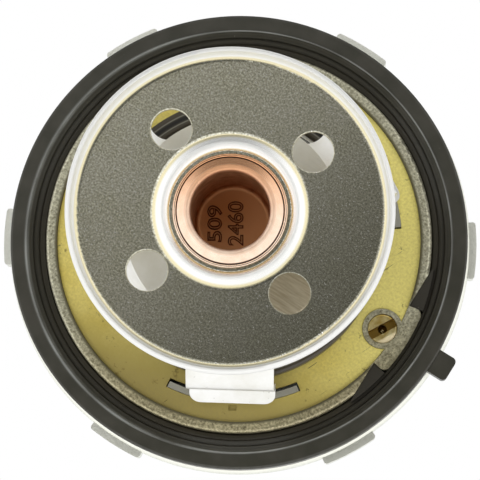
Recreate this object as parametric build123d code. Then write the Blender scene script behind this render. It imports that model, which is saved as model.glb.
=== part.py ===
"""Engine thermostat in its housing: a wax capsule, main valve and bypass disc behind a ribbed gasket.

Frame: the origin is the centre of the gasket's sealing face. +Z runs along the valve's axis, out of the
housing and into the engine. +X points at the air vent and at the gasket's locating tab. Millimetres.
"""

import os
from math import atan2, cos, degrees, radians, sin, sqrt, tan

from build123d import *

# ---------------------------------------------------------------- clearances
PRESS_GAP = 0.02  # pieces pressed or crimped on one another
SEAT_GAP = 0.05  # pieces that lie in a machined seat
RUN_GAP = 0.06  # a shaft in the hole that guides it, on the radius
REST_GAP = 0.12  # what a moving piece leaves under itself when it is shut
WALL_BITE = 0.5  # how far a lug or rib runs into the wall it grows from
CUT_PAST = 1.0  # how far a cut runs past the metal it goes through

# ------------------------------------------------------------------ roundings
SHEET_EDGE = 0.2  # inside bends and broken edges of sheet metal
TURNED_EDGE = 0.3
TURNED_ROOT = 0.5

# ------------------------------------------------------------------- housing
SPIGOT_R = 28.7  # cast ring that carries the gasket
SPIGOT_WALL = 1.7  # from the flange plate to the outside of that ring
SPIGOT_TOP = 0.1
SPIGOT_EDGE = 0.5  # rounding of the ring's top edges
FLANGE_WIDTH = 5.8  # how far the flange reaches past the spigot
FLANGE_THICK = 3.0
FLANGE_EDGE = 1.0
SHOULDER_SET_IN = 4.0  # body behind the flange, from the flange's edge
SHOULDER_DEPTH = 5.4
PLATE_LEDGE = 1.3  # ledge under the flange plate
DOME_DEPTH = 12.0  # height of the cone between the shoulder and the neck
NECK_R = 17.5
NECK_WALL = 2.9
NECK_LENGTH = 22.0
NECK_CHAMFER = 0.8
NECK_SEAM = 3.0  # seam between neck and casting, below the neck's root
NECK_PRESS_R = 16.1  # the neck's turned end, pressed into the casting
NECK_PRESS_LENGTH = 3.0
WALL_BLEND = 3.0

LUG_COUNT = 6
LUG_FIRST_ANGLE = 30.0
LUG_REACH = 0.95  # past the flange's edge
LUG_SPAN = 14.0  # degrees
LUG_SET_BACK = 0.5  # behind the flange's face
LUG_DEPTH = 3.0
LUG_EDGE = 0.5

SPIDER_ARMS = 3
SPIDER_ARM_WIDTH = 3.4
SPIDER_ARM_DEPTH = 4.7
SPIDER_DEPTH = 5.5
SPIDER_HUB_R = 4.8

# ----------------------------------------------------------------- air vent
VENT_SET_IN = 1.9  # axis of the vent, in from the flange plate's edge
VENT_R = 2.2
VENT_LENGTH = 5.2
VENT_BOSS_WALL = 0.75
VENT_BOSS_TOP = -0.15
VENT_BOSS_DEPTH = 8.4
VENT_BLOCK_REACH = 0.6  # block that the boss grows from, past the spigot
VENT_BLOCK_SPAN = 21.0  # degrees
VENT_BLOCK_EDGE = 1.0
VENT_SLOT_WIDTH = 1.3
VENT_SLOT_DEPTH = 1.1
VENT_SLOT_ANGLE = 60.0
VENT_SINK = 0.25  # the vent's head below its boss
BALL_R = 1.0
BALL_GAP = 0.1
BALL_CELL_HEIGHT = 2.5
VENT_HOLE_R = 0.7
VENT_FLOOR = 0.5

# -------------------------------------------------------------------- gasket
GASKET_SET_IN = 0.5  # from the flange's edge
GASKET_THICK = 3.6
GASKET_EDGE = 0.35
RIDGE_SET_IN = 2.4  # from the gasket's edge
RIDGE_WIDTH = 0.5
RIDGE_HEIGHT = 0.25
GASKET_SLOPE = 1.7  # how far the inner band falls towards the spigot
GASKET_STEPS = 3  # fine steps along that band
STEP_TREAD = 0.75  # share of each step that is its tread
STEP_DIP = 0.4  # share of each step's fall that its tread takes
TAB_REACH = 2.9  # past the gasket's edge
TAB_WIDTH = 3.7
TAB_DROP = 0.5
TAB_THICK = 2.4
TAB_EDGE = 0.7
LOBE_SET_IN = 2.0  # straight inner edge of the lobes beside the vent, from the spigot's outside
LOBE_SPAN = 47.0  # degrees
LOBE_THICK = 1.3
LOBE_DROP = 0.1  # the lobes below the flange plate
LOBE_GAP = 0.2  # at the ends of the lobes

# -------------------------------------------------------------- flange plate
PLATE_TOP = -0.4
PLATE_THICK = 1.2
THROAT_SET_IN = 7.8  # from the plate's edge
THROAT_DEPTH = 3.0
THROAT_BLEND = 0.9
STAKE_LENGTH = 1.2
STAKE_WIDTH = 0.8
STAKE_DEPTH = 0.35
STAKE_OUTSIDE = 0.35  # from each foot to its stake mark

# --------------------------------------------------------------------- frame
SHEET = 0.9
FRAME_TOP = 17.0
LEG_COUNT = 3
LEG_FIRST_ANGLE = 60.0
LEG_WIDTH = 12.6
LEG_BEND_SET_IN = 3.7  # outside of each leg's lower bend, from the plate's edge
LEG_SLOPE = 42.0  # degrees; the leg's fall between its two bends
LEG_ARCH = 11.0  # bend between the plate and that slope
LEG_BEND = 2.2  # bend between the slope and the upright
LEG_KNEE_SET_IN = 4.7  # where the upright turns out, from the plate's edge
LEG_KNEE_RISE = 3.0  # above the flange plate
LEG_KNEE_BEND = 1.0
LEG_END_SET_IN = 2.65  # end of the turned-out part, from the plate's edge
LEG_END_RISE = 1.2  # above the flange plate
LEG_CORNER = 1.7
FRAME_FLAT_SET_IN = 10.65  # edge of the plate's flat middle, from the legs
FRAME_PLATE_SET_IN = 7.75  # edge of the plate at the reliefs, from the legs
RELIEF_R = 3.2  # round relief on both sides of each leg's root
RELIEF_SET_IN = 7.5  # from the legs
RELIEF_ASIDE = 8.2
SKIRT_HALF_SPAN = 26.0  # degrees; edge of the plate between the reliefs, turned down at 45
SKIRT_SET_IN = 7.4  # where that edge bends, from the legs
SKIRT_FALL = 1.3
SKIRT_BEND = 3.0
FOOT_SET_IN = 2.8  # outer face of the curved feet, from the plate's edge
FOOT_HALF_SPAN = 23.6  # degrees
FOOT_RISE = 0.55  # the feet above the flange plate
FOOT_ROOT_SPAN = 14.0  # half the span, in degrees, of the tall part that joins a foot to its leg
FOOT_ROOT_RISE = 0.9
FOOT_HOOK = 0.8  # lip folded out under the flange plate
FOOT_SLOT_INSIDE = 0.5  # open slot inside each foot
FOOT_SLOT_END = 0.25
GUIDE_COLLAR = 1.5  # drawn collar round the capsule

# -------------------------------------------------------------- wax capsule
CAPSULE_R = 7.4
CAPSULE_WALL = 0.8
RIM_CREST_R = 6.1  # top of the rim, round the hollow
RIM_CREST = 0.4  # rounding of that top
RIM_FALL = 0.62  # how far the rim slopes down to the cup's side
RECESS_R = 5.5  # hollow pressed into the capsule's end
RECESS_DEPTH = 13.4
RECESS_MOUTH = 0.5  # inner corner of the rim
RECESS_FLOOR_BEND = 0.8
CUP_END_BEND = 1.0  # inside corner of the cup, round the wax
CAPSULE_PAST_DISC = 1.1  # capsule's end above the bypass disc's flat
CAPSULE_FLANGE_R = 9.4
CAPSULE_FLANGE = 1.0
CRIMP_WALL = 0.8
CRIMP_DROP = 0.25  # crimped rim below the cup's flange
CRIMP_EDGE = 0.4
GUIDE_FLANGE = 1.4
GUIDE_R = 4.7
GUIDE_LENGTH = 11.5
GUIDE_CHAMFER = 0.6
WASHER_R = 3.4
WASHER_THICK = 0.8
PISTON_R = 2.0
PISTON_REACH = 11.0  # length of the piston inside the rubber sleeve
PISTON_NOSE = 0.8
PISTON_GAP = 3.0  # bare piston between the guide and the spider's hub
SLEEVE_R = 4.0
SLEEVE_TIP = 2.0
SLEEVE_FLANGE = 1.0
SLEEVE_TIP_EDGE = 1.2
WAX_ROOM = 0.6  # free room round the sleeve's root
INSERT_R = 3.0
INSERT_DEPTH = 2.6
INSERT_FLOOR = 0.8

# --------------------------------------------------------------- main valve
VALVE_LAP = 0.7  # how far the valve's metal reaches past the throat
VALVE_SHEET = 0.9
VALVE_HUB = 3.4
VALVE_HUB_BEND = 0.6
BEAD_R = 12.4  # stiffening bead pressed in the valve
BEAD_RISE = 0.6
BEAD_CREST = 0.8  # half width
BEAD_FOOT = 1.6  # half width
BEAD_EDGE = 0.5
GROOVE_DEPTH = 0.5  # the bead's underside
GROOVE_FLOOR = 0.5
GROOVE_MOUTH = 1.2
SEAL_PAST_VALVE = 1.1  # rubber outside the metal
SEAL_BITE = 1.6  # how far the rubber reaches in over the metal
SEAL_WALL = 0.75
SEAL_EDGE = 0.45

# ------------------------------------------------------------------ springs
MAIN_WIRE = 1.6
MAIN_SPRING_SET_IN = 2.7  # mean radius at the valve, from the valve's edge
MAIN_SPRING_TOP_SET_IN = 1.3  # mean radius at the frame, from where the legs start to bend
MAIN_TURNS = 4.25
BYPASS_WIRE = 0.9
BYPASS_SPRING_R = 8.55
BYPASS_TURNS = 4.5
SPRING_GROUND = 0.3  # share of the wire that is ground off each end

# -------------------------------------------------------------- bypass disc
DISC_SET_IN = 1.5  # disc's edge, from the feet
DISC_SHEET = 0.7
DISC_BEND = 1.05  # inside bend between the flat and the lip
LIP_RISE = 2.2  # turned-up lip above the flat
LIP_EDGE = 0.08
LIP_ROLL = 0.6  # rounding of the lip's outside
DISC_HOLES = 4
DISC_HOLE_R = 2.85
DISC_HOLE_AT_R = 14.06
DISC_HOLE_EDGE = 0.12  # bevel round each hole
DISC_FIRST_ANGLE = 67.5
BOSS_IN = 8.42  # foot of the round bead, on the capsule's side
BOSS_CREST_R = 9.3
BOSS_OUT = 10.85
BOSS_RISE = 0.65
BOSS_BLEND_IN = 0.2
BOSS_BLEND_TOP = 0.3
BOSS_BLEND_OUT = 1.2
RETAINER_WIDTH = 0.55
RETAINER_PAST_RIM = 0.06  # the ring above the low edge of the capsule's rim
RETAINER_EDGE = 0.15
SPRING_SEAT_LIP = 0.6  # the seat past the bypass spring
SPRING_SEAT_GAP = 1.5  # from the guide's collar to the spring's seat
SPRING_SEAT_THICK = 0.8
BYPASS_SPAN = 9.5  # from the spring's seat to the disc's flat

# ------------------------------------------------------------ derived radii
plate_r = SPIGOT_R - SPIGOT_WALL
plate_seat_r = plate_r + SEAT_GAP
flange_r = SPIGOT_R + FLANGE_WIDTH
shoulder_r = flange_r - SHOULDER_SET_IN
lug_r = flange_r + LUG_REACH
cavity_r = plate_r - PLATE_LEDGE
neck_bore_r = NECK_R - NECK_WALL
gasket_r = flange_r - GASKET_SET_IN
gasket_bore_r = SPIGOT_R + SEAT_GAP
ridge_r = gasket_r - RIDGE_SET_IN
tab_r = gasket_r + TAB_REACH
lobe_at = SPIGOT_R - LOBE_SET_IN
vent_at_r = plate_r - VENT_SET_IN
vent_boss_r = VENT_R + VENT_BOSS_WALL
vent_block_r = SPIGOT_R + VENT_BLOCK_REACH
throat_r = plate_r - THROAT_SET_IN
leg_bend_r = plate_r - LEG_BEND_SET_IN
leg_knee_r = plate_r - LEG_KNEE_SET_IN
leg_end_r = plate_r - LEG_END_SET_IN
frame_plate_r = leg_bend_r - FRAME_PLATE_SET_IN
frame_flat_r = leg_bend_r - FRAME_FLAT_SET_IN
skirt_r = leg_bend_r - SKIRT_SET_IN
relief_at = leg_bend_r - RELIEF_SET_IN
foot_r = plate_r - FOOT_SET_IN
guide_bore_r = CAPSULE_R + RUN_GAP
cup_bore_r = CAPSULE_R - CAPSULE_WALL
press_r = CAPSULE_R + PRESS_GAP
valve_r = throat_r + VALVE_LAP
seal_r = valve_r + SEAL_PAST_VALVE
main_spring_r = valve_r - MAIN_SPRING_SET_IN
main_spring_top_r = frame_flat_r - MAIN_SPRING_TOP_SET_IN
disc_r = foot_r - DISC_SET_IN
spring_seat_r = BYPASS_SPRING_R + BYPASS_WIRE / 2 + SPRING_SEAT_LIP

# ---------------------------------------------------------- derived heights
plate_under = PLATE_TOP - PLATE_THICK
lobe_top = PLATE_TOP - LOBE_DROP
lobe_under = lobe_top - LOBE_THICK
flange_top = -GASKET_THICK
flange_under = flange_top - FLANGE_THICK
shoulder_under = flange_under - SHOULDER_DEPTH
neck_root = shoulder_under - DOME_DEPTH
neck_end = neck_root - NECK_LENGTH
neck_seam = neck_root - NECK_SEAM
neck_press_end = neck_seam + NECK_PRESS_LENGTH
lug_top = flange_top - LUG_SET_BACK
vent_head = VENT_BOSS_TOP - VENT_SINK
vent_foot = vent_head - VENT_LENGTH
vent_floor = vent_foot + VENT_FLOOR
frame_under = FRAME_TOP - SHEET
collar_top = FRAME_TOP + GUIDE_COLLAR
leg_knee = PLATE_TOP + LEG_KNEE_RISE
leg_end = PLATE_TOP + LEG_END_RISE
foot_top = PLATE_TOP + FOOT_RISE
foot_hook_top = plate_under - SEAT_GAP
foot_end = foot_hook_top - SHEET
spring_seat_under = collar_top + SPRING_SEAT_GAP
spring_seat_top = spring_seat_under + SPRING_SEAT_THICK
disc_flat = spring_seat_under + BYPASS_SPAN
disc_under = disc_flat - DISC_SHEET
lip_top = disc_flat + LIP_RISE
boss_top = disc_flat + BOSS_RISE
valve_under = PLATE_TOP + REST_GAP + SEAL_WALL
valve_top = valve_under + VALVE_SHEET
capsule_end = disc_flat + CAPSULE_PAST_DISC
rim_low = capsule_end - RIM_FALL
capsule_flange_under = valve_under - CAPSULE_FLANGE
recess_floor = capsule_end - RECESS_DEPTH
cup_floor = recess_floor - CAPSULE_WALL
guide_under = capsule_flange_under - GUIDE_FLANGE
guide_end = guide_under - GUIDE_LENGTH
hub_top = guide_end - PISTON_GAP
hub_under = hub_top - SPIDER_DEPTH
insert_under = hub_top - INSERT_DEPTH
insert_floor = insert_under + INSERT_FLOOR
piston_tip = insert_floor + PRESS_GAP
piston_top = capsule_flange_under + PISTON_REACH
sleeve_top = piston_top + SLEEVE_TIP
sleeve_root_top = capsule_flange_under + SLEEVE_FLANGE

# ------------------------------------------------------------------- layouts
vent_at = (vent_at_r, 0)
lug_angles = [LUG_FIRST_ANGLE + i * 360 / LUG_COUNT for i in range(LUG_COUNT)]
arm_angles = [LUG_FIRST_ANGLE + i * 360 / SPIDER_ARMS for i in range(SPIDER_ARMS)]
leg_angles = [LEG_FIRST_ANGLE + i * 360 / LEG_COUNT for i in range(LEG_COUNT)]
disc_angles = [DISC_FIRST_ANGLE + i * 360 / DISC_HOLES for i in range(DISC_HOLES)]


# ------------------------------------------------------------------- helpers
def ring(*corners):
    """A solid turned about Z from (radius, height) corners, each with an optional rounding."""
    outline = Polyline(*[corner[:2] for corner in corners], close=True)
    face = make_face(outline)
    for corner in corners:
        if len(corner) == 3:
            point = Vector(corner[0], corner[1])
            vertex = face.vertices().sort_by_distance(point)[0]
            face = fillet(vertex, corner[2])
    return revolve(Plane.XZ * face, Axis.Z)


def beneath(points, thickness):
    """The underside of a bent sheet whose upper side runs outwards through (radius, height) points."""
    lines = [(Vector(*b) - Vector(*a)).normalized() for a, b in zip(points, points[1:])]
    normals = [Vector(line.Y, -line.X) for line in lines]
    under = [Vector(*points[0]) + normals[0] * thickness]
    for point, before, after in zip(points[1:], normals, normals[1:]):
        under.append(Vector(*point) + (before + after) * (thickness / (1 + before.dot(after))))
    under.append(Vector(*points[-1]) + normals[-1] * thickness)
    return [(point.X, point.Y) for point in under]


def disc(radius, low, high, at=(0, 0)):
    """A cylinder between two heights."""
    return Pos(at[0], at[1], low) * Cylinder(radius, high - low, align=(Align.CENTER, Align.CENTER, Align.MIN))


def bar(start, reach, width, low, high):
    """A block along +X from a start, between two heights."""
    return Pos(start, 0, low) * Box(reach, width, high - low, align=(Align.MIN, Align.CENTER, Align.MIN))


def polar(radius, angle):
    """The point at a radius and an angle in degrees."""
    return (radius * cos(radians(angle)), radius * sin(radians(angle)))


def sector(inner, outer, half_span, low, high, angle=0.0, edge=0.0):
    """A block bent round Z: a piece of a ring centred on an angle."""
    arc_in = ThreePointArc(polar(inner, -half_span), (inner, 0), polar(inner, half_span))
    arc_out = ThreePointArc(polar(outer, half_span), (outer, 0), polar(outer, -half_span))
    side_a = Line(polar(inner, half_span), polar(outer, half_span))
    side_b = Line(polar(outer, -half_span), polar(inner, -half_span))
    face = make_face([arc_in, side_a, arc_out, side_b])
    if edge:
        outer_corners = face.vertices().sort_by(lambda v: Vector(v).length)[-2:]
        face = fillet(outer_corners, edge)
    block = extrude(face, high - low)
    return Rot(0, 0, angle) * Pos(0, 0, low) * block


def coil(low_r, high_r, low, high, wire, turns):
    """A helical spring between two flat seats, its end coils ground flat."""
    ground = wire * SPRING_GROUND
    height = high - low - wire + 2 * ground
    start = low + wire / 2 - ground
    taper = degrees(atan2(low_r - high_r, height))
    path = Pos(0, 0, start) * Helix(height / turns, height, low_r, cone_angle=-taper)
    section = Plane(origin=path @ 0, z_dir=path % 0) * Circle(wire / 2)
    body = sweep(section, path=path, is_frenet=True)
    reach = max(low_r, high_r) + wire
    return body & disc(reach, low, high)


# ------------------------------------------------------------------- housing
def build_housing():
    """The casting: spigot, flange and lugs, cavity, dome and vent boss."""
    outer = ring(
        (0, neck_seam),
        (NECK_R, neck_seam),
        (NECK_R, neck_root, WALL_BLEND),
        (shoulder_r, shoulder_under, WALL_BLEND),
        (shoulder_r, flange_under, FLANGE_EDGE),
        (flange_r, flange_under, FLANGE_EDGE),
        (flange_r, flange_top, FLANGE_EDGE),
        (SPIGOT_R, flange_top),
        (SPIGOT_R, SPIGOT_TOP, SPIGOT_EDGE),
        (0, SPIGOT_TOP),
    )
    seat = disc(plate_seat_r, plate_under, SPIGOT_TOP + CUT_PAST)
    neck_socket = disc(NECK_PRESS_R + PRESS_GAP, neck_seam - CUT_PAST, neck_press_end + PRESS_GAP)
    body = outer - cavity(0) - seat - neck_socket
    for angle in lug_angles:
        body += sector(shoulder_r - WALL_BITE, lug_r, LUG_SPAN / 2, lug_top - LUG_DEPTH, lug_top, angle, LUG_EDGE)
    body -= lobe_recess()
    body += vent_boss()
    vent_bore = disc(VENT_R + PRESS_GAP, -VENT_BOSS_DEPTH - CUT_PAST, VENT_BOSS_TOP + CUT_PAST, vent_at)
    return body - vent_bore


def build_outlet_neck():
    """The hose neck: a turned tube pressed into the bottom of the casting."""
    tube = ring(
        (0, neck_end),
        (NECK_R - NECK_CHAMFER, neck_end),
        (NECK_R, neck_end + NECK_CHAMFER),
        (NECK_R, neck_seam - PRESS_GAP),
        (NECK_PRESS_R, neck_seam - PRESS_GAP),
        (NECK_PRESS_R, neck_press_end),
        (0, neck_press_end),
    )
    return tube - disc(neck_bore_r, neck_end - CUT_PAST, neck_press_end + CUT_PAST)


def cavity(gap):
    """The room inside the casting, drawn in from its walls by a gap."""
    return ring(
        (0, neck_end - CUT_PAST),
        (neck_bore_r - gap, neck_end - CUT_PAST),
        (neck_bore_r - gap, neck_root, WALL_BLEND),
        (cavity_r - gap, shoulder_under, WALL_BLEND),
        (cavity_r - gap, plate_under),
        (0, plate_under),
    )


def lobe_recess():
    """The step in the spigot that the gasket's two lobes lie over."""
    low = lobe_under - SEAT_GAP
    high = SPIGOT_TOP + CUT_PAST
    half_span = LOBE_SPAN / 2 + degrees(LOBE_GAP / SPIGOT_R)
    past_chord = bar(lobe_at - SEAT_GAP, SPIGOT_R, 2 * SPIGOT_R, low, high)
    wedge = sector(lobe_at / 2, SPIGOT_R + SEAT_GAP, half_span, low, high)
    return past_chord & wedge


def vent_boss():
    """The boss round the air vent, standing on a block that reaches out past the spigot."""
    boss = disc(vent_boss_r, -VENT_BOSS_DEPTH, VENT_BOSS_TOP, vent_at)
    block = sector(
        plate_seat_r, vent_block_r, VENT_BLOCK_SPAN / 2, flange_top - WALL_BITE, VENT_BOSS_TOP, 0, VENT_BLOCK_EDGE
    )
    web = bar(vent_at_r, plate_r - vent_at_r + WALL_BITE, 2 * vent_boss_r, -VENT_BOSS_DEPTH, plate_under)
    return boss + block + web


def build_piston_bridge():
    """Three arms across the outlet, wedged in the cone, and the hub that holds the piston's seat."""
    arms = disc(SPIDER_HUB_R, hub_under, hub_top)
    for angle in arm_angles:
        arms += Rot(0, 0, angle) * bar(0, cavity_r, SPIDER_ARM_WIDTH, hub_under, hub_under + SPIDER_ARM_DEPTH)
    pocket = disc(INSERT_R + PRESS_GAP, insert_under, hub_top + CUT_PAST)
    return (arms & cavity(PRESS_GAP)) - pocket


# -------------------------------------------------------------------- gasket
def build_gasket():
    """The moulded seal: a flat outer band, a fine ridge, a stepped inner band, a tab and two lobes."""
    ridge_out = ridge_r + RIDGE_WIDTH / 2
    ridge_in = ridge_r - RIDGE_WIDTH / 2
    step_run = (ridge_in - gasket_bore_r) / GASKET_STEPS
    step_fall = GASKET_SLOPE / GASKET_STEPS
    steps = []
    for i in range(GASKET_STEPS):
        steps.append((ridge_in - (i + STEP_TREAD) * step_run, -(i + STEP_DIP) * step_fall))
        steps.append((ridge_in - (i + 1) * step_run, -(i + 1) * step_fall))
    body = ring(
        (gasket_bore_r, flange_top),
        (gasket_r, flange_top),
        (gasket_r, 0, GASKET_EDGE),
        (ridge_out, 0),
        (ridge_r, RIDGE_HEIGHT, RIDGE_WIDTH / 3),
        (ridge_in, 0),
        *steps,
    )
    tab = bar(ridge_r, tab_r - ridge_r, TAB_WIDTH, -TAB_DROP - TAB_THICK, -TAB_DROP)
    tab = fillet(tab.edges().filter_by(Axis.Z).sort_by(Axis.X)[-2:], TAB_EDGE)
    return body + tab + gasket_lobes() - vent_clearance()


def gasket_lobes():
    """The straight-edged filling between the gasket and the flange plate on both sides of the vent."""
    wedge = sector(lobe_at / 2, gasket_bore_r + WALL_BITE, LOBE_SPAN / 2, lobe_under, lobe_top)
    past_chord = bar(lobe_at, SPIGOT_R, 2 * SPIGOT_R, lobe_under, lobe_top)
    return wedge & past_chord


def vent_clearance():
    """Room in the gasket for the vent's block."""
    half_span = VENT_BLOCK_SPAN / 2 + degrees(SEAT_GAP / plate_r)
    return sector(lobe_at / 2, vent_block_r + SEAT_GAP, half_span, flange_top - CUT_PAST, CUT_PAST)


# -------------------------------------------------------------- flange plate
def build_flange_plate():
    """The brass plate: a drawn throat, three slots for the frame's feet and a bite for the vent's boss."""
    throat_out = throat_r + PLATE_THICK
    throat_end = PLATE_TOP - THROAT_DEPTH
    body = ring(
        (throat_r, throat_end),
        (throat_out, throat_end),
        (throat_out, plate_under, THROAT_BLEND / 2),
        (plate_r, plate_under),
        (plate_r, PLATE_TOP),
        (throat_r, PLATE_TOP, THROAT_BLEND),
    )
    half_span = FOOT_HALF_SPAN + degrees(FOOT_SLOT_END / foot_r)
    slot_in = foot_r - SHEET - FOOT_SLOT_INSIDE
    low = plate_under - CUT_PAST
    high = PLATE_TOP + CUT_PAST
    for angle in leg_angles:
        body -= sector(slot_in, foot_r + SEAT_GAP, half_span, low, high, angle)
        stake = bar(foot_r + STAKE_OUTSIDE, STAKE_WIDTH, STAKE_LENGTH, PLATE_TOP - STAKE_DEPTH, high)
        body -= Rot(0, 0, angle) * stake
    bite = disc(vent_boss_r + SEAT_GAP, low, high, vent_at)
    return body - bite


# --------------------------------------------------------------------- frame
def build_frame():
    """The pressed steel cage: a round plate on three bent legs whose feet hook under the flange plate."""
    collar_foot = guide_bore_r + 2 * SHEET
    body = disc(frame_plate_r, frame_under, FRAME_TOP)
    for angle in leg_angles:
        body += Rot(0, 0, angle) * frame_leg()
        body += frame_foot(angle)
        body += frame_skirt(angle + 180 / LEG_COUNT)
    body -= disc(collar_foot, frame_under - CUT_PAST, FRAME_TOP + CUT_PAST)
    return body + guide_collar(collar_foot)


def frame_leg():
    """One flat leg along +X: it slopes down from the plate, drops, and turns out over its foot."""
    arch_r = frame_flat_r + LEG_ARCH * tan(radians(LEG_SLOPE) / 2)
    bend = FRAME_TOP - (leg_bend_r - arch_r) * tan(radians(LEG_SLOPE))
    upper = [(0, FRAME_TOP), (arch_r, FRAME_TOP), (leg_bend_r, bend), (leg_knee_r, leg_knee), (leg_end_r, leg_end)]
    under = beneath(upper, SHEET)
    outer_bends = (LEG_ARCH, LEG_BEND, LEG_KNEE_BEND)
    inner_bends = (LEG_ARCH - SHEET, LEG_BEND - SHEET, LEG_KNEE_BEND + SHEET)
    face = make_face(Polyline(*upper, *reversed(under), close=True))
    for points, bends in ((upper, outer_bends), (under, inner_bends)):
        for point, radius in zip(points[1:], bends):
            face = fillet(face.vertices().sort_by_distance(Vector(*point))[0], radius)
    leg = extrude(Plane.XZ * face, LEG_WIDTH / 2, both=True)
    across_end = Axis((0, 0, 0), (upper[-1][0] - under[-1][0], 0, upper[-1][1] - under[-1][1]))
    leg = fillet(leg.edges().filter_by(across_end), LEG_CORNER)
    for side in (-1, 1):
        leg -= disc(RELIEF_R, foot_top, FRAME_TOP + CUT_PAST, (relief_at, side * RELIEF_ASIDE))
    return leg


def frame_skirt(angle):
    """The plate's edge between two legs, bent down at 45 degrees and relieved at both ends."""
    upper = [(frame_flat_r, FRAME_TOP), (skirt_r, FRAME_TOP)]
    upper.append((skirt_r + SKIRT_FALL, FRAME_TOP - SKIRT_FALL))
    under = beneath(upper, SHEET)
    edge = ring(
        upper[0],
        (*upper[1], SKIRT_BEND),
        upper[2],
        under[2],
        (*under[1], SKIRT_BEND - SHEET),
        under[0],
    )
    past_end = skirt_r + SKIRT_FALL + CUT_PAST
    below = frame_under - SKIRT_FALL - CUT_PAST
    skirt = edge & sector(
        frame_flat_r - CUT_PAST, past_end, SKIRT_HALF_SPAN, below, FRAME_TOP + CUT_PAST, angle
    )
    for side in (-1, 1):
        leg_turn = Rot(0, 0, angle - side * 180 / LEG_COUNT)
        relief = disc(RELIEF_R, foot_top, FRAME_TOP + CUT_PAST, (relief_at, side * RELIEF_ASIDE))
        skirt -= leg_turn * relief
    return skirt


def frame_foot(angle):
    """One curved foot: two arms in the flange plate's slot with a lip folded out beneath it."""
    inside = foot_r - SHEET
    arms = sector(inside, foot_r, FOOT_HALF_SPAN, foot_end, foot_top, angle)
    lip = sector(inside, foot_r + FOOT_HOOK, FOOT_HALF_SPAN, foot_end, foot_hook_top, angle)
    root = sector(inside, foot_r, FOOT_ROOT_SPAN, foot_end, PLATE_TOP + FOOT_ROOT_RISE, angle)
    return arms + lip + root


def guide_collar(foot):
    """The collar drawn up from the plate, in which the capsule slides."""
    outside = guide_bore_r + SHEET
    return ring(
        (guide_bore_r, frame_under, 2 * SHEET_EDGE),
        (guide_bore_r, collar_top),
        (outside, collar_top),
        (outside, FRAME_TOP),
        (foot, FRAME_TOP),
        (foot, frame_under),
    )


# --------------------------------------------------------------- wax capsule
def build_capsule_cup():
    """The drawn copper cup, its end folded back into a hollow, and its crimping flange."""
    return ring(
        (0, recess_floor),
        (RECESS_R, recess_floor, RECESS_FLOOR_BEND),
        (RECESS_R, capsule_end, RECESS_MOUTH),
        (RIM_CREST_R, capsule_end, RIM_CREST),
        (CAPSULE_R, rim_low),
        (CAPSULE_R, valve_under, SHEET_EDGE),
        (CAPSULE_FLANGE_R, valve_under),
        (CAPSULE_FLANGE_R, capsule_flange_under),
        (cup_bore_r, capsule_flange_under),
        (cup_bore_r, cup_floor, CUP_END_BEND),
        (0, cup_floor),
    )


def build_capsule_guide():
    """The turned brass guide, its rim crimped round the cup's flange."""
    rim_in = CAPSULE_FLANGE_R + PRESS_GAP
    rim_out = rim_in + CRIMP_WALL
    rim_top = valve_under - CRIMP_DROP
    bore = PISTON_R + RUN_GAP
    washer_under = capsule_flange_under - WASHER_THICK
    return ring(
        (bore, guide_end),
        (GUIDE_R - GUIDE_CHAMFER, guide_end),
        (GUIDE_R, guide_end + GUIDE_CHAMFER),
        (GUIDE_R, guide_under, TURNED_ROOT),
        (rim_out, guide_under, CRIMP_EDGE),
        (rim_out, rim_top, TURNED_EDGE),
        (rim_in, rim_top),
        (rim_in, capsule_flange_under),
        (WASHER_R + PRESS_GAP, capsule_flange_under),
        (WASHER_R + PRESS_GAP, washer_under),
        (bore, washer_under),
    )


def build_back_up_washer():
    """The hard washer that keeps the rubber out of the guide's bore."""
    washer_under = capsule_flange_under - WASHER_THICK
    hole = disc(PISTON_R + RUN_GAP, washer_under - CUT_PAST, capsule_flange_under + CUT_PAST)
    return disc(WASHER_R, washer_under, capsule_flange_under) - hole


def build_rubber_sleeve():
    """The squeezed sleeve round the piston, clamped by its flange."""
    bore = PISTON_R + RUN_GAP
    return ring(
        (bore, capsule_flange_under),
        (cup_bore_r - PRESS_GAP, capsule_flange_under),
        (cup_bore_r - PRESS_GAP, sleeve_root_top),
        (SLEEVE_R, sleeve_root_top, TURNED_ROOT),
        (SLEEVE_R, sleeve_top, SLEEVE_TIP_EDGE),
        (0, sleeve_top),
        (0, piston_top + PRESS_GAP),
        (bore, piston_top + PRESS_GAP),
    )


def build_wax():
    """The charge that fills the cup round the sleeve."""
    outside = cup_bore_r - PRESS_GAP
    charge = ring(
        (0, cup_floor - PRESS_GAP),
        (outside, cup_floor - PRESS_GAP, CUP_END_BEND),
        (outside, sleeve_root_top + PRESS_GAP),
        (0, sleeve_root_top + PRESS_GAP),
    )
    sleeve_room = disc(SLEEVE_R + PRESS_GAP, capsule_flange_under, sleeve_top + PRESS_GAP)
    root_room = disc(SLEEVE_R + WAX_ROOM, capsule_flange_under, sleeve_root_top + WAX_ROOM)
    return charge - sleeve_room - root_room


def build_piston():
    """The polished pin that pushes the capsule off its seat."""
    return ring(
        (0, piston_tip),
        (PISTON_R - PISTON_NOSE, piston_tip),
        (PISTON_R, piston_tip + PISTON_NOSE),
        (PISTON_R, piston_top, TURNED_EDGE),
        (0, piston_top),
    )


def build_piston_seat():
    """The hard cup in the bridge's hub that the piston stands in."""
    socket = ring(
        (0, insert_floor),
        (PISTON_R - PISTON_NOSE + PRESS_GAP, insert_floor),
        (PISTON_R + PRESS_GAP, insert_floor + PISTON_NOSE),
        (PISTON_R + PRESS_GAP, hub_top + CUT_PAST),
        (0, hub_top + CUT_PAST),
    )
    return disc(INSERT_R, insert_under, hub_top) - socket


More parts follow.
